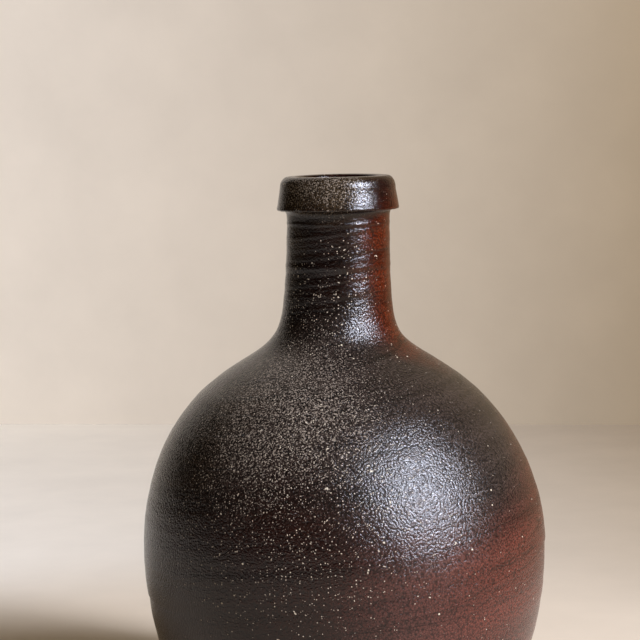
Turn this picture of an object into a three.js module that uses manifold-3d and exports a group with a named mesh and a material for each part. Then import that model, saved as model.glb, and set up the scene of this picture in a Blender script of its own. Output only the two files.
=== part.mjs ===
// A wood-fired stoneware sake bottle: a round body under a narrow neck with a turned-down collar.
// A potter builds it in stages, and each stage is a mesh here: a base disc, the lower and upper
// halves of the body, the neck, and the collar round the mouth. Slip lutes each stage to the next.
// Millimetres, +Z up. The origin is the centre of the base, on the ground.

import * as THREE from "three";
import { mergeVertices } from "three/addons/utils/BufferGeometryUtils.js";
import Module from "manifold-3d";

// ---- Driving dimensions -------------------------------------------------------------------

const bodyRadius = 80; // outside, at the widest
const bodyHeight = 178; // ground to the neck joint
const bellyHeight = 86; // ground to the widest ring
const bodyWall = 7;

const footRadius = 48; // outside of the base, on the ground
const footEdge = 2; // height of the rounded edge round the base
const floorThickness = 9;
const hollowRadius = 30; // shallow hollow under the base, left by lifting it off the wheel
const hollowDepth = 1.2;
const hollowSlope = 6; // width of the hollow's sloping edge

const seamHeight = 78; // height of the belly seam on the bottle's axis
const seamTilt = 7; // degrees that the seam leans, rising towards +X
const seamBevel = 20; // degrees that the upper half's edge laps down over the lower half

const domeGap = 10; // how far below the neck joint the shoulder's curve would close
const flareWidth = 22; // neck's foot out to where the shoulder starts to sweep up
const flareReach = 17; // pull of the sweep along the shoulder
const flareRise = 12; // pull of the sweep down from the neck joint

const boreRadius = 15.5; // the mouth, which takes a stopper
const neckWall = 4.8;
const neckSpread = 1.7; // how much wider the neck is at its foot
const neckTaper = 13.4; // how far up the neck most of that spread is lost
const neckLength = 40.3; // neck joint to the underside of the collar
const beadHeight = 2.8; // clay smoothed into the angle under the collar
const beadWidth = 1.6;

const collarHeight = 13.5;
const collarOverhang = 3.8; // how far the skirt stands out from the neck
const collarBatter = 1.2; // how much the collar's side leans in on the way up
const collarCorner = 5.2; // height of the rounded outer corner
const collarSeat = 5.7; // depth of the socket that the neck's end fills
const mouthRound = 2.1; // rounding at the top of the bore
const landWidth = 2; // the level ring on top, which a stopper's cap rests on

const segments = 48; // facets round the bottle
const curveSteps = 6; // points on each curved stretch of an outline
const weldDistance = 1e-3;

// ---- Sizes that follow --------------------------------------------------------------------

const neckRadius = boreRadius + neckWall;
const neckFootRadius = neckRadius + neckSpread;
const collarBottom = bodyHeight + neckLength;
const collarTop = collarBottom + collarHeight;
const collarRadius = neckRadius + collarOverhang;
const flareRadius = neckFootRadius + flareWidth;
const landInner = boreRadius + mouthRound;
const landOuter = landInner + landWidth;

// Half an ellipse below the widest ring and half above it make each side of the body's wall.
const footShare = footRadius / bodyRadius;
const lowerRise = bellyHeight / Math.sqrt(1 - footShare * footShare);
const upperRise = bodyHeight - domeGap - bellyHeight;
const outside = { radius: bodyRadius, lower: lowerRise, upper: upperRise };
const inside = {
  radius: bodyRadius - bodyWall,
  lower: lowerRise - bodyWall,
  upper: upperRise - bodyWall,
};

// ---- Outlines: x is the radius, y is the height -------------------------------------------

// Angle on an ellipse at a height below the widest ring.
const angleAtHeight = (wall, height) => Math.asin((height - bellyHeight) / wall.lower);

// Angle on an ellipse at a radius above the widest ring.
const angleAtRadius = (wall, radius) => Math.acos(radius / wall.radius);

const pointOn = (wall, angle) => {
  const rise = angle < 0 ? wall.lower : wall.upper;
  return new THREE.Vector2(wall.radius * Math.cos(angle), bellyHeight + rise * Math.sin(angle));
};

// The body's wall from a height near the foot, over the belly, and up into the neck joint.
function wallPath(wall, fromHeight, flareFrom, jointRadius) {
  const start = angleAtHeight(wall, fromHeight);
  const end = angleAtRadius(wall, flareFrom);
  const leave = pointOn(wall, end);
  const tangent = new THREE.Vector2(-wall.radius * Math.sin(end), wall.upper * Math.cos(end));
  const pull = leave.clone().addScaledVector(tangent.normalize(), flareReach);
  const path = new THREE.Path();
  path.absellipse(0, bellyHeight, wall.radius, wall.lower, start, 0, false, 0);
  path.absellipse(0, bellyHeight, wall.radius, wall.upper, 0, end, false, 0);
  path.bezierCurveTo(
    pull.x, pull.y,
    jointRadius + (neckSpread * flareRise) / neckTaper, bodyHeight - flareRise,
    jointRadius, bodyHeight,
  );
  return path.getPoints(curveSteps);
}

const outerWall = wallPath(outside, floorThickness, flareRadius, neckFootRadius);
const innerWall = wallPath(
  inside, floorThickness, flareRadius - bodyWall, neckFootRadius - neckWall,
);

function baseOutline() {
  const path = new THREE.Path();
  const edge = pointOn(outside, angleAtHeight(outside, footEdge));
  path.moveTo(0, hollowDepth);
  path.lineTo(hollowRadius, hollowDepth);
  path.lineTo(hollowRadius + hollowSlope, 0);
  path.lineTo(footRadius - footEdge, 0);
  path.quadraticCurveTo(footRadius, 0, edge.x, edge.y);
  const side = new THREE.EllipseCurve(
    0, bellyHeight, outside.radius, outside.lower,
    angleAtHeight(outside, footEdge), angleAtHeight(outside, floorThickness), false, 0,
  );
  return [
    ...path.getPoints(curveSteps),
    ...side.getPoints(curveSteps).slice(1, -1),
    outerWall[0],
    new THREE.Vector2(0, floorThickness),
  ];
}

// A closed loop, up the outside and down the inside.
const loop = (outer, inner) => [...outer, ...inner.slice().reverse(), outer[0].clone()];

function neckOutline() {
  const outer = new THREE.Path();
  outer.moveTo(neckFootRadius, bodyHeight);
  outer.quadraticCurveTo(
    neckRadius, bodyHeight + neckTaper,
    neckRadius, collarBottom - beadHeight,
  );
  outer.quadraticCurveTo(neckRadius, collarBottom, neckRadius + beadWidth, collarBottom);
  outer.lineTo(neckRadius, collarBottom);
  outer.lineTo(neckRadius, collarBottom + collarSeat);
  const inner = new THREE.Path();
  inner.moveTo(neckFootRadius - neckWall, bodyHeight);
  inner.quadraticCurveTo(boreRadius, bodyHeight + neckTaper, boreRadius, collarBottom);
  inner.lineTo(boreRadius, collarBottom + collarSeat);
  return loop(outer.getPoints(curveSteps), inner.getPoints(curveSteps));
}

function collarOutline() {
  const path = new THREE.Path();
  const cornerBottom = collarTop - collarCorner;
  const cornerRadius = collarRadius - collarBatter;
  path.moveTo(neckRadius, collarBottom);
  path.lineTo(collarRadius, collarBottom);
  path.lineTo(cornerRadius, cornerBottom);
  path.absellipse(
    landOuter, cornerBottom, cornerRadius - landOuter, collarCorner,
    0, Math.PI / 2, false, 0,
  );
  path.lineTo(landInner, collarTop);
  path.quadraticCurveTo(boreRadius, collarTop, boreRadius, collarTop - mouthRound);
  path.lineTo(boreRadius, collarBottom + collarSeat);
  path.lineTo(neckRadius, collarBottom + collarSeat);
  path.lineTo(neckRadius, collarBottom);
  return path.getPoints(curveSteps);
}

// ---- Solids -------------------------------------------------------------------------------

// LatheGeometry turns its outline about Y, so the result is stood up on +Z.
const turned = (outline) =>
  new THREE.LatheGeometry(outline, segments).rotateX(Math.PI / 2);

const wasm = await Module();
wasm.setup();

function solidOf(geometry) {
  const bare = geometry.clone();
  bare.deleteAttribute("normal");
  bare.deleteAttribute("uv");
  const merged = mergeVertices(bare, weldDistance);
  return new wasm.Manifold(
    new wasm.Mesh({
      numProp: 3,
      vertProperties: merged.attributes.position.array,
      triVerts: new Uint32Array(merged.index.array),
    }),
  );
}

function geometryOf(solid) {
  const mesh = solid.getMesh();
  const geometry = new THREE.BufferGeometry()
    .setAttribute("position", new THREE.BufferAttribute(mesh.vertProperties, mesh.numProp))
    .setIndex(new THREE.BufferAttribute(mesh.triVerts, 1));
  geometry.computeVertexNormals();
  return geometry;
}

// Everything under the belly seam: a wide cone whose slope cuts the wall at the bevel, leaning
// as the seam does.
function underSeam() {
  const reach = bodyRadius + seamHeight; // well past the wall
  const slope = Math.tan(THREE.MathUtils.degToRad(seamBevel));
  const middle = bodyRadius - bodyWall / 2;
  const cone = turned([
    new THREE.Vector2(0, -bodyHeight),
    new THREE.Vector2(reach, -bodyHeight),
    new THREE.Vector2(reach, (middle - reach) * slope),
    new THREE.Vector2(0, middle * slope),
  ]);
  cone.rotateY(-THREE.MathUtils.degToRad(seamTilt));
  cone.translate(0, 0, seamHeight);
  return solidOf(cone);
}

const bodyShell = solidOf(turned(loop(outerWall, innerWall)));
const [lowerHalf, upperHalf] = bodyShell.split(underSeam());

// ---- Assembly -----------------------------------------------------------------------------

const clay = (color, roughness) => new THREE.MeshStandardMaterial({ color, roughness, metalness: 0 });

function stage(name, geometry, material) {
  const mesh = new THREE.Mesh(geometry, material);
  mesh.name = name;
  return mesh;
}

const bottle = new THREE.Group();
bottle.add(
  stage("base_disc", turned(baseOutline()), clay("#7a5a48", 0.9)),
  stage("lower_body", geometryOf(lowerHalf), clay("#5a3a33", 0.5)),
  stage("upper_body", geometryOf(upperHalf), clay("#453a37", 0.5)),
  stage("neck", turned(neckOutline()), clay("#4a2a20", 0.45)),
  stage("lip_collar", turned(collarOutline()), clay("#4c4439", 0.45)),
);

export default bottle;
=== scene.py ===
"""A wood-fired stoneware sake bottle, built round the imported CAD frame.

The frame gives the bottle's joints and overall sizes. Each of the potter's stages becomes one
finely thrown piece that stands for its CAD node. Metres, +Z up, origin at the centre of the base.
"""

import math

import bmesh
import bpy
from bpy.props import FloatProperty, FloatVectorProperty, IntProperty, PointerProperty
from mathutils import Matrix, Vector, noise


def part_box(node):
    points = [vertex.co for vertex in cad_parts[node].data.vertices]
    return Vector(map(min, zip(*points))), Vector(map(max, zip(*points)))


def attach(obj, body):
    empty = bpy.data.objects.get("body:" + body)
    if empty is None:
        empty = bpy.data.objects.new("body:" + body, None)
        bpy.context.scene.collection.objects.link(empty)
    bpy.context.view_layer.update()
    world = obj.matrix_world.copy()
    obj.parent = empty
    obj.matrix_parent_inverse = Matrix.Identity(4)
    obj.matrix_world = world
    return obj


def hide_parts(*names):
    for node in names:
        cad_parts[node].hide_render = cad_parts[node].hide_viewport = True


bl_info = {
    "name": "Sake Bottle",
    "version": (1, 0, 0),
    "blender": (4, 5, 0),
    "location": "View3D > Sidebar > Bottle",
    "description": "Throws a wood-fired stoneware sake bottle and sets its stage",
    "category": "Object",
}

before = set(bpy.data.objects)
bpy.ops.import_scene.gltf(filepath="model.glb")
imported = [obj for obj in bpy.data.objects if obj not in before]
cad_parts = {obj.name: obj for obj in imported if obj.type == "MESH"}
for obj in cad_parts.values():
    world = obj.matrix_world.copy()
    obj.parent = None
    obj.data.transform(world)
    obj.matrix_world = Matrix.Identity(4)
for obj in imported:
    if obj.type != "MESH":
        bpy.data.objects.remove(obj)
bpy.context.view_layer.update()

MM = 0.001
WELD = 1e-6  # points nearer than this are one point
ON_PLANE = 1e-7  # points nearer than this to a cut lie on it
LEAST_RISE = 1e-9  # keeps a level stretch of a line from dividing by nothing
WEDGE_HALVINGS = 4  # a wedge is spun, then doubled this many times to go full circle
SHARP_EDGE = math.radians(38)  # an edge bent by more than this shows as an edge

# Rings left by the fingers: pitch up the wall, cells of noise to the metre across, and weight.
BODY_RINGS = ((6 * MM, 6, 1), (2.4 * MM, 10, 0.4))
NECK_RINGS = ((4.2 * MM, 14, 1), (1.5 * MM, 22, 0.5))
NECK_RIDGES = ((213.4 * MM, 0.6 * MM), (196.7 * MM, 1.1 * MM))  # height, half width
NECK_BLEND = 8 * MM  # body's rings give way to the neck's this far either side of the joint
UNEVEN_CELLS = 17  # cells of noise to the metre in the wall's unevenness
UNEVEN_INSET = 0.3  # share of the unevenness by which the wall is set in, to stay in its box

# The belly seam's step: what is left of it, and how far from the seam it dies away.
STEP_FRONT = 0.35  # share that is left at the front and back
STEP_SIDES = 0.65  # what the sides have beyond that
STEP_PATCHY = 0.3  # how much that share comes and goes
STEP_CELLS = 60  # cells of noise to the metre in that
STEP_BELOW = 9 * MM
STEP_LIP = 0.12  # share of the step by which the upper half's edge stands out
STEP_ABOVE = 4 * MM
STEP_END = 20 * MM

# The shoulder's fullness starts this far above the belly, and ends this far above the joint.
FULL_START = 20 * MM
FULL_END = 10 * MM

# Chips in the collar's lower edge: cells of noise to the metre, and weight.
CHIPS = ((420, 1), (1100, 0.5))

# ---- What the frame gives ------------------------------------------------------------------

BASE_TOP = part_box("base_disc")[1].z
BODY_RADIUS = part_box("upper_body")[1].x
NECK_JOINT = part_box("neck")[0].z
NECK_FOOT_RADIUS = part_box("neck")[1].x
COLLAR_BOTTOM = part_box("lip_collar")[0].z
COLLAR_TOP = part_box("lip_collar")[1].z
COLLAR_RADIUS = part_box("lip_collar")[1].x
SOCKET_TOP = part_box("neck")[1].z


# ---- Properties ----------------------------------------------------------------------------


def length(name, millimetres, description):
    """A length that is given in millimetres and kept in metres."""
    return FloatProperty(
        name=name, description=description, default=millimetres * MM, unit="LENGTH", precision=4
    )


def linear(hex_colour):
    """An sRGB hex colour as linear red, green and blue."""
    values = [int(hex_colour[i : i + 2], 16) / 255 for i in (1, 3, 5)]
    return [v / 12.92 if v <= 0.04045 else ((v + 0.055) / 1.055) ** 2.4 for v in values]


def colour(name, hex_colour, description):
    """A colour that is given as sRGB hex and kept as linear light."""
    return FloatVectorProperty(
        name=name, description=description, default=linear(hex_colour), subtype="COLOR",
        min=0, max=1, size=3,
    )


class BottleSizes(bpy.types.PropertyGroup):
    """The bottle's own sizes, beside those that the frame gives."""

    belly_height: length("Belly height", 86, "Ground to the widest ring")
    wall: length("Body wall", 7, "Thickness of the body's wall")
    foot_radius: length("Foot radius", 48, "Outside of the base, on the ground")
    foot_edge: length("Foot edge", 2, "Height of the rounded edge round the base")
    hollow_radius: length("Hollow radius", 30, "Flat part of the shallow hollow underneath")
    hollow_slope: length("Hollow slope", 6, "Width of the hollow's sloping edge")
    hollow_depth: length("Hollow depth", 1.2, "Depth of the hollow underneath")
    dome_gap: length("Dome gap", 10, "Neck joint down to where the shoulder would close")
    flare_width: length("Flare width", 22, "Neck's foot out to the start of its sweep")
    flare_reach: length("Flare reach", 17, "Pull of the sweep along the shoulder")
    flare_rise: length("Flare rise", 12, "Pull of the sweep down from the neck joint")
    seam_height: length("Seam height", 78, "Belly seam, on the bottle's axis")
    seam_tilt: FloatProperty(
        name="Seam tilt", description="Lean of the belly seam, rising towards +X",
        default=math.radians(7), subtype="ANGLE",
    )
    seam_step: length("Seam step", 0.5, "How far the upper half stands over the lower half")
    bore_radius: length("Bore radius", 15.5, "The mouth")
    neck_wall: length("Neck wall", 4.8, "Thickness of the neck")
    neck_spread: length("Neck spread", 1.7, "How much wider the neck is at its foot")
    neck_taper: length("Neck taper", 13.4, "How far up most of that spread is lost")
    bead_height: length("Bead height", 2.8, "Clay smoothed into the angle under the collar")
    bead_width: length("Bead width", 1.6, "Width of that clay under the collar")
    collar_batter: length("Collar batter", 1.2, "How much the collar leans in on the way up")
    collar_corner: length("Collar corner", 5.2, "Height of the rounded outer corner")
    skirt_round: length("Skirt round", 0.7, "Rounding of the collar's lower edge")
    mouth_round: length("Mouth round", 2.1, "Rounding at the top of the bore")
    land_width: length("Land width", 2, "The level ring on top of the collar")
    wobble: length("Wobble", 0.22, "Unevenness of the hand-thrown wall")
    ring_depth: length("Ring depth", 0.14, "Depth of the throwing rings on the body")
    neck_ring_depth: length("Neck ring depth", 0.16, "Depth of the throwing rings on the neck")
    fullness: length("Fullness", 0.7, "How much fuller the shoulder was thrown")
    sway: length("Sway", 1.3, "How far the shoulder and the neck stand out of true, to -X")
    ragged: length("Ragged", 0.6, "Unevenness of the collar's lower edge")
    ragged_width: length("Ragged width", 1.2, "Width of the uneven edge")
    ridge: length("Ridge", 0.13, "Height of the ridges that fingers left on the neck")
    rim_lift: length("Rim lift", 0.35, "How much higher the collar is at the front")
    wedge_facets: IntProperty(
        name="Wedge facets", description="Facets round a sixteenth of the bottle", default=24
    )
    fine: length("Fine spacing", 0.72, "Mesh spacing up the outside")
    coarse: length("Coarse spacing", 4, "Mesh spacing up the inside")


class GlazeLook(bpy.types.PropertyGroup):
    """Colours and grain of the fired surface."""

    dark_brown: colour("Dark brown", "#1c0c07", "Iron-rich clay where the glaze pooled dark")
    iron_red: colour("Iron red", "#4b231a", "Clay flushed red where little ash fell")
    char: colour("Char", "#110603", "Nearly black clay down the front of the neck")
    plum: colour("Plum", "#41251f", "Cooler clay between the flush and the ash")
    ember: colour("Ember", "#3f1202", "Orange flash on the side of the neck that faced the fire")
    ash_grey: colour("Ash grey", "#29211c", "Thin grey veil of melted ash on the shoulder")
    olive: colour("Olive", "#2c2216", "Olive ash glaze on the collar and down the left")
    dust: colour("Dust", "#786c5f", "Fine ash on the shoulder")
    fleck: colour("Fleck", "#a89b86", "Ash that hardly melted")
    crumb: colour("Crumb", "#b1a48d", "Coarser crumbs of pale ash")
    bare_clay: colour("Bare clay", "#654839", "Unglazed clay underneath")
    grain: length("Grain", 0.85, "Spacing of the citron-skin grain")
    grit: length("Grit", 0.4, "Spacing of the finest texture")
    fleck_spacing: length("Fleck spacing", 0.85, "Spacing of the finer flecks")
    fleck_share: FloatProperty(
        name="Fleck share", description="How many places hold a fleck, at the most", default=0.75
    )
    crumb_spacing: length("Crumb spacing", 4.2, "Spacing of the coarser crumbs")
    pit_spacing: length("Pit spacing", 13, "Spacing of the pits")
    relief: length("Relief", 0.34, "Height of the whole texture")


class StageLook(bpy.types.PropertyGroup):
    """The floor, the wall behind and the light."""

    wall_left: colour("Wall, left", "#dbd0be", "Pale plaster")
    # Painted shade: the wall darkens towards this tint on the right, away from the light.
    wall_painted_shade: colour("Wall, right", "#877558", "Warmer plaster, away from the light")
    floor_left: colour("Floor, left", "#fbf4e6", "Pale floor")
    # Painted shadow: a darker floor tint round the bottle's foot, where its cast shadow falls.
    floor_painted_shadow: colour("Floor, worn", "#cbbca6", "Darker floor round the foot")
    # Painted shade: the floor darkens towards this tint on the right, away from the light.
    floor_painted_shade: colour("Floor, right", "#9f8b6e", "Warmer floor")
    wall_distance: length("Wall distance", 790, "Bottle's axis to the wall")
    wall_turn: FloatProperty(
        name="Wall turn", description="How far the wall is turned from square",
        default=math.radians(7), subtype="ANGLE",
    )
    floor_width: length("Floor width", 6000, "Width of the floor")
    wall_width: length("Wall width", 1800, "Width and height of the wall")
    key_power: FloatProperty(name="Key", description="Key light's power", default=66, unit="POWER")


# ---- Outlines: x is the radius, y is the height --------------------------------------------


def bend(*controls, count=80):
    """Points on the Bezier curve that the control points pull."""

    def at(points, share):
        while len(points) > 1:
            points = [a.lerp(b, share) for a, b in zip(points, points[1:])]
        return points[0]

    return [at([Vector(c) for c in controls], i / count) for i in range(count + 1)]


def evenly(points, spacing):
    """The same line with its points spaced evenly along it."""
    reach = [0.0]
    for a, b in zip(points, points[1:]):
        reach.append(reach[-1] + (b - a).length)
    count = max(1, round(reach[-1] / spacing))
    line, at = [points[0]], 0
    for i in range(1, count):
        target = reach[-1] * i / count
        while reach[at + 1] < target:
            at += 1
        share = (target - reach[at]) / (reach[at + 1] - reach[at])
        line.append(points[at].lerp(points[at + 1], share))
    return line + [points[-1]]


def between(points, low, high):
    """The part of a rising line between two heights, cut exactly there."""

    def crossing(height):
        for a, b in zip(points, points[1:]):
            if a.y <= height <= b.y:
                return a.lerp(b, (height - a.y) / max(b.y - a.y, LEAST_RISE))
        raise ValueError(f"the line doesn't reach {height}")

    middle = [p for p in points if low + WELD < p.y < high - WELD]
    return [crossing(low)] + middle + [crossing(high)]


def body_wall(s, inset, steps=240):
    """Rising line of the body's wall, from the ground to the neck joint."""
    foot_share = s.foot_radius / BODY_RADIUS
    lower = s.belly_height / math.sqrt(1 - foot_share * foot_share) - inset
    upper = NECK_JOINT - s.dome_gap - s.belly_height - inset
    radius = BODY_RADIUS - inset
    joint = NECK_FOOT_RADIUS - (s.neck_wall if inset else 0)
    flare = NECK_FOOT_RADIUS + s.flare_width - inset
    floor = BASE_TOP if inset else s.foot_edge
    start = math.asin((floor - s.belly_height) / lower)
    end = math.acos(flare / radius)
    line = []
    for i in range(steps + 1):
        angle = start + (end - start) * i / steps
        rise = lower if angle < 0 else upper
        line.append(
            Vector((radius * math.cos(angle), s.belly_height + rise * math.sin(angle)))
        )
    leave = line[-1]
    along = Vector((-radius * math.sin(end), upper * math.cos(end))).normalized()
    slope = s.neck_spread / s.neck_taper
    line += bend(
        leave,
        leave + along * s.flare_reach,
        (joint + slope * s.flare_rise, NECK_JOINT - s.flare_rise),
        (joint, NECK_JOINT),
    )[1:]
    return line


def neck_side(s, foot, radius, top):
    """Rising line of the neck, inside or out, from its joint to a height."""
    return bend((foot, NECK_JOINT), (radius, NECK_JOINT + s.neck_taper), (radius, top))


def outward_of(line):
    """Which way the surface faces at each point of a line that rises up the outside."""
    facing = []
    for i in range(len(line)):
        along = line[min(i + 1, len(line) - 1)] - line[max(i - 1, 0)]
        facing.append(Vector((along.y, -along.x)).normalized())
    return facing


# ---- Throwing ------------------------------------------------------------------------------


def seam_at(s, place):
    """How far a place is above the belly seam."""
    lean = math.tan(s.seam_tilt)
    return (place.z - s.seam_height - place.x * lean) * math.cos(s.seam_tilt)


def rings(place, layers):
    """Throwing rings: noise drawn out round the wheel and packed close up the wall."""
    return sum(
        weight * noise.noise(Vector((place.x * across, place.y * across, place.z / pitch)))
        for pitch, across, weight in layers
    )


def swell(height, low, high):
    """0 below low and above high, rising smoothly to 1 half way."""
    share = (height - low) / (high - low)
    return math.sin(math.pi * min(max(share, 0), 1)) ** 2


def step_at(s, place, above, side):
    """How far the wall stands out near the belly seam, or in where side is below 0."""
    sideways = abs(place.x) / BODY_RADIUS
    patchy = STEP_PATCHY * noise.noise(place * STEP_CELLS)
    step = s.seam_step * (STEP_FRONT + STEP_SIDES * sideways ** 2 + patchy)
    if side < 0:
        return -step * math.exp(min(above, 0) / STEP_BELOW)
    if above < STEP_END:
        return STEP_LIP * step * math.exp(-above / STEP_ABOVE)
    return 0.0


def thrown(s, place, side):
    """How far the thrown wall stands out from the turned one. Side is 1 above the seam."""
    above = seam_at(s, place)
    uneven = (noise.noise(place * UNEVEN_CELLS) - UNEVEN_INSET) * s.wobble
    level = Vector((place.x, place.y, above))
    neckness = min(max((place.z - NECK_JOINT + NECK_BLEND) / (2 * NECK_BLEND), 0), 1)
    ribs = (
        rings(level, BODY_RINGS) * s.ring_depth * (1 - neckness)
        + rings(level, NECK_RINGS) * s.neck_ring_depth * neckness
    )
    full = s.fullness * swell(place.z, s.belly_height + FULL_START, NECK_JOINT + FULL_END)
    ridge = sum(s.ridge * math.exp(-((place.z - z) / half) ** 2) for z, half in NECK_RIDGES)
    return uneven + ribs + step_at(s, place, above, side) + full + ridge


def throw(s, outline, skin, side=0, closed=True):
    """Spins an outline into a piece, then lets the hand show on its outside.

    Skin holds, for each point, the way it faces, or None on a joint and on the inside.
    """
    mesh = bmesh.new()
    facing = mesh.verts.layers.float_vector.new("facing")
    rim = []
    for point, way in zip(outline, skin):
        vert = mesh.verts.new((point.x, 0, point.y))
        vert[facing] = (way.x, 0, way.y) if way else (0, 0, 0)
        rim.append(vert)
    edges = [mesh.edges.new(pair) for pair in zip(rim, rim[1:])]
    if closed:
        edges.append(mesh.edges.new((rim[-1], rim[0])))
    wedge = math.tau / 2 ** WEDGE_HALVINGS
    bmesh.ops.spin(
        mesh, geom=rim + edges, cent=(0, 0, 0), axis=(0, 0, 1), dvec=(0, 0, 0),
        angle=wedge, steps=s.wedge_facets, use_merge=False, use_normal_flip=False,
        use_duplicate=False,
    )
    for halving in range(WEDGE_HALVINGS):
        copy = bmesh.ops.duplicate(mesh, geom=mesh.verts[:] + mesh.edges[:] + mesh.faces[:])
        copied = [part for part in copy["geom"] if isinstance(part, bmesh.types.BMVert)]
        turn = Matrix.Rotation(wedge * 2 ** halving, 3, "Z")
        bmesh.ops.rotate(mesh, verts=copied, cent=(0, 0, 0), matrix=turn)
    bmesh.ops.remove_doubles(mesh, verts=mesh.verts, dist=WELD)
    bmesh.ops.recalc_face_normals(mesh, faces=mesh.faces)
    for vert in mesh.verts:
        way = vert[facing]  # one unit long, or nothing where the skin holds None
        sway = s.sway * swell(vert.co.z, s.belly_height, SOCKET_TOP)
        if way.length > 0.5:
            around = math.atan2(vert.co.y, vert.co.x)
            out = Vector((way.x * math.cos(around), way.x * math.sin(around), way.z))
            vert.co += out * thrown(s, vert.co.copy(), side)
            # The wall keeps within the widest ring and stands on the ground.
            spare = min(BODY_RADIUS / vert.co.xy.length, 1)
            vert.co = (vert.co.x * spare, vert.co.y * spare, max(vert.co.z, 0))
        vert.co.x -= sway
    return mesh


def cut_at_seam(mesh, s, keep_above):
    """Cuts a shell along the belly seam, keeps one side and closes the joint's face."""
    plane = Vector((-math.sin(s.seam_tilt), 0, math.cos(s.seam_tilt)))
    cut = bmesh.ops.bisect_plane(
        mesh, geom=mesh.verts[:] + mesh.edges[:] + mesh.faces[:], dist=ON_PLANE,
        plane_co=(0, 0, s.seam_height), plane_no=plane,
        clear_inner=keep_above, clear_outer=not keep_above,
    )
    border = [e for e in cut["geom_cut"] if isinstance(e, bmesh.types.BMEdge) and e.is_boundary]
    bmesh.ops.bridge_loops(mesh, edges=border)
    bmesh.ops.recalc_face_normals(mesh, faces=mesh.faces)


def inward(centre, normal):
    """Whether a face looks towards the bottle's axis."""
    return normal.x * centre.x + normal.y * centre.y < 0


def finish_piece(mesh, name, node, inside=inward):
    """Turns a bmesh into a piece that stands for its CAD node, glazed outside and bare inside."""
    for face in mesh.faces:
        face.smooth = True
        if inside(face.calc_center_median(), face.normal):
            face.material_index = 1
    for edge in mesh.edges:
        edge.smooth = edge.calc_face_angle(0) < SHARP_EDGE
    data = bpy.data.meshes.new(name)
    mesh.to_mesh(data)
    mesh.free()
    for material in clay_pair():
        data.materials.append(material)
    piece = bpy.data.objects.new(name, data)
    bpy.context.collection.objects.link(piece)
    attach(piece, "root")
    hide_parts(node)
    return piece


# ---- Finishes ------------------------------------------------------------------------------

DRIFT_SIZE = 30 * MM  # of the clouds that carry the patches' edges astray
DRIFT_REACH = 24 * MM  # how far they carry them
DOT_EDGE = 0.12  # soft edge of a dot, as a share of its radius
PIT = "#0a0706"  # shadow in a pit
GLAZE_IOR = 1.5
GLAZE_SPECULAR = 0.38  # under glass's 0.5, which keeps the dark glaze dark
BODY_ROUGHNESS = 0.2
NECK_ROUGHNESS = 0.18
FLECK_ROUGHNESS = 0.25  # what a fleck adds
FINE_FLECK = 0.25 * MM  # radius of the largest, as in the next three
FLECK = 0.34 * MM
CRUMB = 0.42 * MM
PIT_RADIUS = 0.7 * MM
SPARSE = 0.6  # share of the cells that hold a crumb or a pit
SAND = 0.8 * MM  # bare clay: spacing of its sand, height of that, and size of its clouds
SAND_RELIEF = 0.15 * MM
CLAY_CLOUD = 22 * MM
CLAY_DARK = 0.45  # how dark the clouds are, as a share of the clay's own tone
CLAY_ROUGHNESS = 0.8

def add(tree, kind, inputs=None, **settings):
    """Adds a node. Each input takes a value, or a link when it is given a node or an output."""
    node = tree.nodes.new("ShaderNode" + kind)
    for name, value in settings.items():
        setattr(node, name, value)
    for socket, value in (inputs or {}).items():
        if isinstance(value, bpy.types.Node):
            value = value.outputs[0]
        if isinstance(value, bpy.types.NodeSocket):
            tree.links.new(value, node.inputs[socket])
        else:
            node.inputs[socket].default_value = value
    return node


def new_material(name, look):
    """An empty node material with a shader; the colour shown in the viewport is its own."""
    material = bpy.data.materials.new(name)
    material.use_nodes = True
    material.diffuse_color = (*look, 1)
    tree = material.node_tree
    tree.nodes.clear()
    shader = add(tree, "BsdfPrincipled")
    add(tree, "OutputMaterial", {"Surface": shader})
    place = add(tree, "TexCoord").outputs["Object"]
    return material, tree, shader, place


def remap(tree, value, low, high, at_low, at_high):
    """At_low where a value is low or less, at_high where it is high or more, even between."""
    return add(tree, "MapRange", {0: value, 1: low, 2: high, 3: at_low, 4: at_high}).outputs[0]


def tinted(tree, share, tone, tint):
    """A tone that gives way to a tint by a share."""
    return add(tree, "Mix", {0: share, 6: tone, 7: (*tint, 1)}, data_type="RGBA").outputs[2]


def shaded(tree, tone, shade):
    """A tone times a shade."""
    return add(
        tree, "Mix", {0: 1, 6: tone, 7: shade}, data_type="RGBA", blend_type="MULTIPLY"
    ).outputs[2]


def patch(tree, place, centre, near, far):
    """1 near a point on the bottle, falling to 0 far from it. All in millimetres."""
    middle = [v * MM for v in centre]
    away = add(tree, "VectorMath", {0: place, 1: middle}, operation="DISTANCE")
    return add(
        tree, "MapRange",
        {0: away.outputs["Value"], 1: far * MM, 2: near * MM, 3: 0, 4: 1},
        interpolation_type="SMOOTHSTEP",
    ).outputs[0]


def dots(tree, place, spacing, radius, share):
    """Round dots of uneven size, one to a cell, in a share of the cells: a number or a layer."""
    cells = add(tree, "TexVoronoi", {"Vector": place, "Scale": 1 / spacing})
    chance = add(tree, "SeparateColor", {0: cells.outputs["Color"]})
    size = remap(tree, chance.outputs[0], 0, share, radius / spacing, 0)
    inside = add(
        tree, "Math", {0: size, 1: cells.outputs["Distance"]}, operation="SUBTRACT"
    )
    return remap(tree, inside, 0, DOT_EDGE * radius / spacing, 0, 1)


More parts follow.
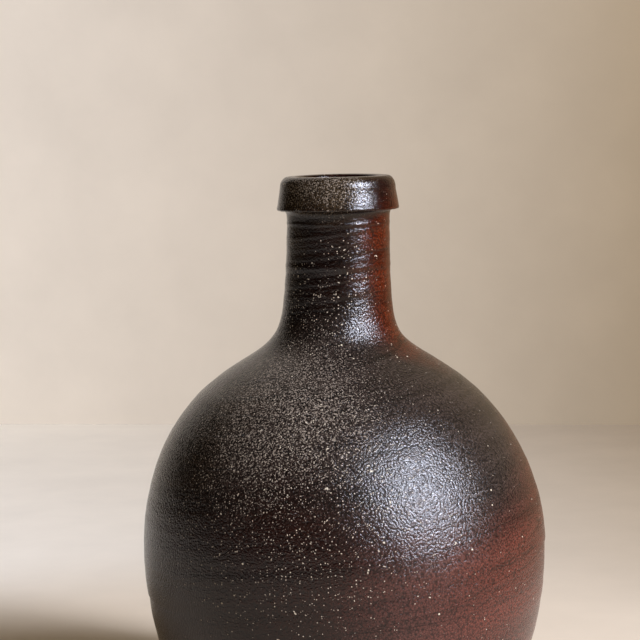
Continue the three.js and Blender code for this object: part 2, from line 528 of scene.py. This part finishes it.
def ash_glaze(look):
    """Wood-fired stoneware under a thin natural ash glaze.

    Satin and finely pitted like a citron's skin, iron brown where bare of ash, grey and olive
    where ash settled, and flecked with ash that didn't melt.
    """
    material, tree, shader, place = new_material("natural_ash_glaze", look.dark_brown)
    drift = add(
        tree, "TexNoise",
        {"Vector": place, "Scale": 1 / DRIFT_SIZE, "Detail": 5, "Roughness": 0.6},
    )
    warp = add(
        tree, "VectorMath", {0: drift.outputs["Color"], 1: (0.5, 0.5, 0.5)},
        operation="SUBTRACT",
    )
    shift = add(tree, "VectorMath", {0: warp, "Scale": DRIFT_REACH}, operation="SCALE")
    strayed = add(tree, "VectorMath", {0: place, 1: shift}, operation="ADD").outputs[0]
    level = add(
        tree, "VectorRotate",
        {"Vector": place, "Angle": bpy.context.scene.bottle_sizes.seam_tilt},
        rotation_type="Y_AXIS",
    )
    wound = []  # layers of noise wound round the bottle, level with the belly seam
    for around, pitch, detail in ((8, 7 * MM, 4), (16, 1.7 * MM, 4), (5, 8 * MM, 1)):
        turns = add(
            tree, "VectorMath", {0: level, 1: (around, around, 1 / pitch)}, operation="MULTIPLY"
        )
        noisy = add(tree, "TexNoise", {"Vector": turns, "Scale": 1, "Detail": detail})
        wound.append(noisy.outputs[0])
    bands, streaks, swells = wound

    # The flush and the ash: a tint, its middle, how far from there it is full, and where it
    # ends, in millimetres.
    tone = (*look.dark_brown, 1)
    for tint, middle, near, far in (
        (look.plum, (75, -62, 52), 48, 98),
        (look.plum, (92, -32, 112), 42, 88),
        (look.iron_red, (98, -30, 80), 48, 94),
        (look.iron_red, (45, 85, 70), 34, 84),
        (look.plum, (-40, 75, 105), 30, 86),
        (look.ash_grey, (-10, 45, 150), 26, 66),
        (look.ash_grey, (30, -40, 150), 38, 74),
        (look.ash_grey, (-35, -35, 152), 28, 62),
        (look.olive, (-90, 15, 160), 50, 98),
        (look.char, (-9, -27, 200), 17, 33),
        (look.olive, (-28, 4, 200), 14, 30),
        (look.ember, (30, -4, 205), 15, 32),
        (look.ember, (33, -4, 181), 15, 33),
        (look.olive, (-10, -14, 236), 17, 28),
    ):
        share = patch(tree, strayed, middle, near, far)
        tone = tinted(tree, share, tone, tint)

    # The grit is drawn coarser than the clay's own, which is too fine to be seen.
    cells = add(tree, "TexVoronoi", {"Vector": place, "Scale": 1 / look.grain})
    grain = cells.outputs["Distance"]
    grit = add(
        tree, "TexNoise", {"Vector": place, "Scale": 1 / look.grit, "Detail": 2}
    ).outputs[0]
    # Thin scored lines, where the slow noise passes one value.
    lines = add(tree, "Math", {0: swells, 1: 0.55, 2: 0.006}, operation="COMPARE").outputs[0]
    # Painted shade: darker in the cracks of the grain and lighter on its domes. Also lighter and
    # darker by turns up the wall.
    for layer, low, high, at_low, at_high in (
        (grain, 0.15, 0.8, 1.35, 0.35),
        (grit, 0.35, 0.65, 0.7, 1.3),
        (bands, 0.3, 0.7, 0.75, 1.25),
        (streaks, 0.3, 0.7, 0.8, 1.2),
        (lines, 0, 1, 1, 0.6),
    ):
        tone = shaded(tree, tone, remap(tree, layer, low, high, at_low, at_high))

    # Ash that landed and stayed: its middle, how far from there it is thick, where it ends, its
    # grain, and how strong the noise must be to show, at its end and where it is thick.
    specks = []
    for middle, near, far, spacing, few, many in (
        ((-22, -46, 146), 14, 66, 0.62 * MM, 0.72, 0.54),
        ((-8, -20, 232), 8, 26, 0.5 * MM, 0.72, 0.545),
        ((-30, 50, 140), 12, 60, 0.62 * MM, 0.72, 0.56),
    ):
        thick = patch(tree, strayed, middle, near, far)
        scatter = add(
            tree, "TexNoise",
            {"Vector": place, "Scale": 1 / spacing, "Detail": 2, "Roughness": 0.6},
        )
        least = remap(tree, thick, 0, 1, few, many)
        over = add(tree, "Math", {0: scatter, 1: least}, operation="SUBTRACT")
        specks.append(remap(tree, over, 0, 0.05, 0, 1))
    dust, rim_dust, back_dust = specks
    sown = add(
        tree, "Math",
        {0: patch(tree, strayed, (-18, -70, 116), 16, 66),
         1: patch(tree, strayed, (-5, -24, 186), 8, 28)},
        operation="MAXIMUM",
    )
    sown = remap(tree, sown, 0, 1, 0.03, look.fleck_share)
    flecks = add(
        tree, "Math",
        {0: dots(tree, place, look.fleck_spacing, FINE_FLECK, sown),
         1: dots(tree, strayed, 2.1 * look.fleck_spacing, FLECK, sown)},
        operation="MAXIMUM",
    ).outputs[0]
    crumbs = dots(tree, place, look.crumb_spacing, CRUMB, SPARSE)
    pits = dots(tree, place, look.pit_spacing, PIT_RADIUS, SPARSE)
    for share, tint in (
        (dust, look.dust), (rim_dust, look.dust), (back_dust, look.dust), (flecks, look.fleck),
        (crumbs, look.crumb), (pits, linear(PIT)),
    ):
        tone = tinted(tree, share, tone, tint)

    # Relief: how high each layer stands on the body and on the neck, as shares of the whole.
    necked = patch(tree, place, (0, 0, 212), 30, 45)
    height = 0
    for layer, on_body, on_neck in (
        (grain, -0.48, -0.25), (grit, 0.36, 0.3), (lines, -0.2, -0.1), (streaks, 0.2, 0.28),
        (dust, 0.1, 0.1), (flecks, 0.2, 0.2), (crumbs, 0.5, 0.5), (pits, -2, -2),
    ):
        weight = remap(tree, necked, 0, 1, on_body, on_neck)
        height = add(
            tree, "Math", {0: layer, 1: weight, 2: height}, operation="MULTIPLY_ADD"
        )
    bump = add(tree, "Bump", {"Height": height, "Strength": 1, "Distance": look.relief})
    satin = remap(tree, necked, 0, 1, BODY_ROUGHNESS, NECK_ROUGHNESS)
    rough = add(
        tree, "Math", {0: flecks, 1: FLECK_ROUGHNESS, 2: satin}, operation="MULTIPLY_ADD"
    ).outputs[0]
    shader.inputs["IOR"].default_value = GLAZE_IOR
    shader.inputs["Specular IOR Level"].default_value = GLAZE_SPECULAR
    tree.links.new(rough, shader.inputs["Roughness"])
    tree.links.new(tone, shader.inputs["Base Color"])
    tree.links.new(bump.outputs[0], shader.inputs["Normal"])
    return material


def bare_stoneware(look):
    """Unglazed stoneware: matt, gritty and warm, with fine sand in it."""
    material, tree, shader, place = new_material("unglazed_stoneware", look.bare_clay)
    grit = add(
        tree, "TexNoise", {"Vector": place, "Scale": 1 / SAND, "Detail": 3, "Roughness": 0.7}
    )
    cloud = add(tree, "TexNoise", {"Vector": place, "Scale": 1 / CLAY_CLOUD, "Detail": 3})
    dark = [CLAY_DARK * v for v in look.bare_clay]
    tone = tinted(tree, cloud, (*dark, 1), look.bare_clay)
    bump = add(tree, "Bump", {"Height": grit, "Strength": 1, "Distance": SAND_RELIEF})
    shader.inputs["Roughness"].default_value = CLAY_ROUGHNESS
    tree.links.new(tone, shader.inputs["Base Color"])
    tree.links.new(bump.outputs[0], shader.inputs["Normal"])
    return material


def finish_of(name, make):
    """A material by name, made the first time it is asked for."""
    return bpy.data.materials.get(name) or make(bpy.context.scene.bottle_glaze)


def clay_pair():
    """The glazed outside and the bare inside."""
    return [
        finish_of("natural_ash_glaze", ash_glaze),
        finish_of("unglazed_stoneware", bare_stoneware),
    ]


# ---- Operators: one for each stage of the potter's work ------------------------------------


class BOTTLE_OT_base(bpy.types.Operator):
    """The base disc, with its hollow underneath"""

    bl_idname = "bottle.base"
    bl_label = "Base Disc"

    def execute(self, context):
        s = context.scene.bottle_sizes
        edge = bend(
            (s.foot_radius - s.foot_edge, 0), (s.foot_radius, 0), body_wall(s, 0)[0], count=12
        )
        side = evenly(between(body_wall(s, 0), s.foot_edge, BASE_TOP), s.fine)
        under = [
            Vector((0, s.hollow_depth)), Vector((s.hollow_radius, s.hollow_depth)),
            Vector((s.hollow_radius + s.hollow_slope, 0)),
        ]
        slope_spacing = 1.5 * MM
        under = evenly(under[:2], s.coarse) + evenly(under[1:], slope_spacing)[1:]
        ring = evenly([under[-1], edge[0]], s.coarse)[1:-1]
        outer = edge[1:] + side[1:]
        floor = evenly([outer[-1], Vector((0, BASE_TOP))], s.coarse)[1:]
        start = under + ring + edge[:1]
        skin = [None] * len(start) + outward_of(outer) + [None] * len(floor)
        mesh = throw(s, start + outer + floor, skin, side=-1, closed=False)
        # Bare where it stands on the ground, and where it is level and is the bottle's floor.
        bare_below = 1.2 * MM
        finish_piece(
            mesh, "base", "base_disc",
            inside=lambda centre, normal: centre.z < bare_below or normal.z > 0.9,
        )
        return {"FINISHED"}


SEAM_SPARE = 3 * MM  # how far the shell reaches past the seam before it is cut


def body_shell(s, side):
    """A ring of the body's shell that reaches past the seam, thrown as one side of it is."""
    reach = BODY_RADIUS * math.tan(s.seam_tilt) + SEAM_SPARE
    low = BASE_TOP if side < 0 else s.seam_height - reach
    high = NECK_JOINT if side > 0 else s.seam_height + reach
    outer = evenly(between(body_wall(s, 0), low, high), s.fine)
    inner = evenly(between(body_wall(s, s.wall), low, high), s.coarse)
    skin = outward_of(outer) + [None] * len(inner)
    return throw(s, outer + inner[::-1], skin, side)


class BOTTLE_OT_lower_body(bpy.types.Operator):
    """The lower half of the body, up to the belly seam"""

    bl_idname = "bottle.lower_body"
    bl_label = "Lower Body"

    def execute(self, context):
        s = context.scene.bottle_sizes
        mesh = body_shell(s, -1)
        cut_at_seam(mesh, s, keep_above=False)
        finish_piece(mesh, "lower_half", "lower_body")
        return {"FINISHED"}


class BOTTLE_OT_upper_body(bpy.types.Operator):
    """The upper half of the body, with the shoulder and the flare"""

    bl_idname = "bottle.upper_body"
    bl_label = "Upper Body"

    def execute(self, context):
        s = context.scene.bottle_sizes
        mesh = body_shell(s, 1)
        cut_at_seam(mesh, s, keep_above=True)
        finish_piece(mesh, "upper_half", "upper_body")
        return {"FINISHED"}


class BOTTLE_OT_neck(bpy.types.Operator):
    """The neck, whose end fills the collar's socket"""

    bl_idname = "bottle.neck"
    bl_label = "Neck"

    def execute(self, context):
        s = context.scene.bottle_sizes
        radius = s.bore_radius + s.neck_wall
        fine = 0.3 * MM
        side = neck_side(s, NECK_FOOT_RADIUS, radius, COLLAR_BOTTOM - s.bead_height)
        bead = bend(
            side[-1], (radius, COLLAR_BOTTOM), (radius + s.bead_width, COLLAR_BOTTOM), count=12
        )
        outer = evenly(side, fine) + bead[1:]
        spigot = [Vector((radius, COLLAR_BOTTOM)), Vector((radius, SOCKET_TOP))]
        bore = neck_side(s, NECK_FOOT_RADIUS - s.neck_wall, s.bore_radius, COLLAR_BOTTOM)
        bore_spacing = 2 * MM
        inner = evenly(bore, bore_spacing) + [Vector((s.bore_radius, SOCKET_TOP))]
        skin = outward_of(outer) + [None] * (len(spigot) + len(inner))
        mesh = throw(s, outer + spigot + inner[::-1], skin)
        finish_piece(mesh, "neck_tube", "neck")
        return {"FINISHED"}


class BOTTLE_OT_collar(bpy.types.Operator):
    """The collar folded over the neck's end"""

    bl_idname = "bottle.collar"
    bl_label = "Collar"

    def execute(self, context):
        s = context.scene.bottle_sizes
        fine = 0.35 * MM
        radius = s.bore_radius + s.neck_wall
        corner = COLLAR_TOP - s.collar_corner
        top = COLLAR_RADIUS - s.collar_batter
        land = s.bore_radius + s.mouth_round
        skirt_inner = COLLAR_RADIUS - s.skirt_round
        under = evenly(
            [Vector((radius, COLLAR_BOTTOM)), Vector((skirt_inner, COLLAR_BOTTOM))], fine
        )
        skirt = bend(
            under[-1], (COLLAR_RADIUS, COLLAR_BOTTOM),
            (COLLAR_RADIUS, COLLAR_BOTTOM + s.skirt_round), count=6,
        )
        face = evenly([skirt[-1], Vector((top, corner))], fine)
        land_outer = land + s.land_width
        steps = 18  # round the quarter turn of the outer corner
        angles = [i * math.pi / (2 * steps) for i in range(steps + 1)]
        turn = [
            Vector((
                land_outer + (top - land_outer) * math.cos(angle),
                corner + s.collar_corner * math.sin(angle),
            ))
            for angle in angles
        ]
        flat = evenly([turn[-1], Vector((land, COLLAR_TOP))], fine)
        lip = bend(
            flat[-1], (s.bore_radius, COLLAR_TOP), (s.bore_radius, COLLAR_TOP - s.mouth_round),
            count=8,
        )
        bore_spacing = 1 * MM
        bore = evenly([lip[-1], Vector((s.bore_radius, SOCKET_TOP))], bore_spacing)
        outer = under + skirt[1:] + face[1:] + turn[1:] + flat[1:] + lip[1:]
        facing = outward_of(outer)
        facing[0] = None
        rest = bore[1:] + [Vector((radius, SOCKET_TOP))]
        mesh = throw(s, outer + rest, facing + [None] * len(rest))
        for vert in mesh.verts:
            edge = vert.co.xy.length - (COLLAR_RADIUS - s.ragged_width)
            if edge > 0 and vert.co.z < COLLAR_BOTTOM + s.ragged_width:
                rough = sum(weight * abs(noise.noise(vert.co * cells)) for cells, weight in CHIPS)
                vert.co.z += s.ragged * rough * min(edge / s.ragged_width, 1)
        lift = s.rim_lift / 2
        for vert in mesh.verts:
            share = max(vert.co.z - SOCKET_TOP, 0) / (COLLAR_TOP - SOCKET_TOP)
            vert.co.z -= lift * share * (1 + vert.co.y / COLLAR_RADIUS)
        glazed_from = COLLAR_TOP - 4 * MM  # the glaze reaches this far down into the mouth
        finish_piece(
            mesh, "collar", "lip_collar",
            inside=lambda centre, normal: inward(centre, normal) and centre.z < glazed_from,
        )
        return {"FINISHED"}


class BOTTLE_OT_stage(bpy.types.Operator):
    """The floor, the wall behind, the lights and the camera"""

    bl_idname = "bottle.stage"
    bl_label = "Stage"

    def execute(self, context):
        look = context.scene.bottle_stage
        half = look.wall_width / 2
        upright = (
            Matrix.Rotation(-look.wall_turn, 4, "Z")
            @ Matrix.Translation((0, look.wall_distance, half))
            @ Matrix.Rotation(math.radians(90), 4, "X")
        )
        floor_half = look.floor_width / 2
        plaster(
            "floor", look.floor_left, look.floor_painted_shade, floor_half, Matrix.Identity(4),
            painted_shadow=look.floor_painted_shadow,
        )
        plaster("backdrop", look.wall_left, look.wall_painted_shade, half, upright)
        soft_lights(context.scene, look)
        place_camera(context.scene)
        return {"FINISHED"}


# Painted shade: the wall and the floor darken from left to right across this reach.
PAINTED_SHADE_REACH = 0.3  # metres to either side over which the tints drift
# Painted shadow on the floor round the bottle's foot.
PAINTED_SHADOW = ((-40, -40, 0), 250, 430)  # millimetres: its middle, where it is full, where it ends
PLASTER_ROUGHNESS = 0.9
PLASTER_SPECULAR = 0.2
PLASTER_CLOUD = 70 * MM  # size of the faint clouds, and how dark and how light they are
PLASTER_DARK = 0.955
PLASTER_LIGHT = 1.03


def plaster(name, left, right, half, placing, painted_shadow=None):
    """A flat plastered sheet, the floor or the wall, with painted shade from left to right and, on
    the floor, a painted shadow round the bottle's foot.

    Trowelled lime plaster: dead matt, pale and faintly clouded. It is clear from behind, so that
    the bottle can be looked at from its back and from below.
    """
    mesh = bmesh.new()
    bmesh.ops.create_grid(mesh, x_segments=1, y_segments=1, size=half)
    bmesh.ops.transform(mesh, matrix=placing, verts=mesh.verts)
    data = bpy.data.meshes.new(name)
    mesh.to_mesh(data)
    mesh.free()
    material, tree, shader, place = new_material(name + "_plaster", left)
    shader.inputs["Roughness"].default_value = PLASTER_ROUGHNESS
    shader.inputs["Specular IOR Level"].default_value = PLASTER_SPECULAR
    # Painted shade: the tint darkens from left to right, as the light falls away.
    across = add(tree, "SeparateXYZ", {0: place}).outputs["X"]
    share = remap(tree, across, -PAINTED_SHADE_REACH, PAINTED_SHADE_REACH, 0, 1)
    tone = tinted(tree, share, (*left, 1), right)
    # Painted shadow: the floor is darker round the bottle's foot.
    if painted_shadow:
        tone = tinted(tree, patch(tree, place, *PAINTED_SHADOW), tone, painted_shadow)
    cloud = add(
        tree, "TexNoise",
        {"Vector": place, "Scale": 1 / PLASTER_CLOUD, "Detail": 6, "Roughness": 0.6},
    )
    tone = shaded(tree, tone, remap(tree, cloud, 0.3, 0.7, PLASTER_DARK, PLASTER_LIGHT))
    tree.links.new(tone, shader.inputs["Base Color"])
    behind = add(tree, "NewGeometry").outputs["Backfacing"]
    sided = add(tree, "MixShader", {0: behind, 1: shader, 2: add(tree, "BsdfTransparent")})
    tree.links.new(sided.outputs[0], tree.nodes["Material Output"].inputs["Surface"])
    data.materials.append(material)
    sheet = bpy.data.objects.new(name, data)
    bpy.context.collection.objects.link(sheet)


# Metres. The key light is a tall window to the front right.
BOTTLE_MIDDLE = Vector((0, 0, 0.12))
KEY_WAY = Vector((0.683, -0.553, 0.48))
KEY_DISTANCE = 1.5
KEY_SIZE = (0.26, 0.6)
KEY_TINT = "#e8edff"
AIR_TINT = "#ecdcc4"
AIR_STRENGTH = 0.21


def soft_lights(scene, look):
    """A window-like key from the front right, and pale air that fills but doesn't glint."""
    data = bpy.data.lights.new("key", "AREA")
    data.shape = "RECTANGLE"
    data.size, data.size_y = KEY_SIZE
    data.energy = look.key_power
    data.color = linear(KEY_TINT)
    lamp = bpy.data.objects.new("key", data)
    way = KEY_WAY.normalized() * KEY_DISTANCE
    lamp.location = BOTTLE_MIDDLE + way
    lamp.rotation_mode = "QUATERNION"
    lamp.rotation_quaternion = (-way).to_track_quat("-Z", "Y")
    bpy.context.collection.objects.link(lamp)
    world = bpy.data.worlds.new("pale_air")
    scene.world = world
    world.use_nodes = True
    air = world.node_tree.nodes["Background"]
    air.inputs["Color"].default_value = (*linear(AIR_TINT), 1)
    air.inputs["Strength"].default_value = AIR_STRENGTH
    world.cycles_visibility.glossy = False  # it lights the glaze but isn't mirrored in it
    scene.view_settings.view_transform = "Standard"


# The camera, in metres and radians.
CAMERA_DISTANCE = 0.786
CAMERA_HEIGHT = 0.264
CAMERA_PITCH = math.radians(6.48)  # looking down
CAMERA_ROLL = math.radians(1.13)
CAMERA_OFFSET = -0.0062  # to the left of the bottle's axis
CAMERA_LENS = 112.6


def place_camera(scene):
    """A long lens a little above the mouth."""
    data = bpy.data.cameras.new("camera")
    data.lens = CAMERA_LENS
    data.sensor_width = 36
    camera = bpy.data.objects.new("camera", data)
    camera.location = (CAMERA_OFFSET, -CAMERA_DISTANCE, CAMERA_HEIGHT)
    camera.rotation_euler = (math.pi / 2 - CAMERA_PITCH, CAMERA_ROLL, 0)
    bpy.context.collection.objects.link(camera)
    scene.camera = camera


# ---- Panel and registration ----------------------------------------------------------------

STAGES = (
    BOTTLE_OT_stage, BOTTLE_OT_base, BOTTLE_OT_lower_body, BOTTLE_OT_upper_body,
    BOTTLE_OT_neck, BOTTLE_OT_collar,
)


class BOTTLE_PT_panel(bpy.types.Panel):
    """Lists the bottle's stages"""

    bl_idname = "BOTTLE_PT_panel"
    bl_label = "Sake Bottle"
    bl_space_type = "VIEW_3D"
    bl_region_type = "UI"
    bl_category = "Bottle"

    def draw(self, context):
        for stage in STAGES:
            self.layout.operator(stage.bl_idname)


CLASSES = (BottleSizes, GlazeLook, StageLook, *STAGES, BOTTLE_PT_panel)


def register():
    for entry in CLASSES:
        bpy.utils.register_class(entry)
    bpy.types.Scene.bottle_sizes = PointerProperty(type=BottleSizes)
    bpy.types.Scene.bottle_glaze = PointerProperty(type=GlazeLook)
    bpy.types.Scene.bottle_stage = PointerProperty(type=StageLook)


def unregister():
    del bpy.types.Scene.bottle_stage
    del bpy.types.Scene.bottle_glaze
    del bpy.types.Scene.bottle_sizes
    for entry in reversed(CLASSES):
        bpy.utils.unregister_class(entry)


def main():
    """Builds everything in order."""
    register()
    for stage in STAGES:
        group, name = stage.bl_idname.split(".")
        getattr(getattr(bpy.ops, group), name)()


if __name__ == "__main__":
    main()
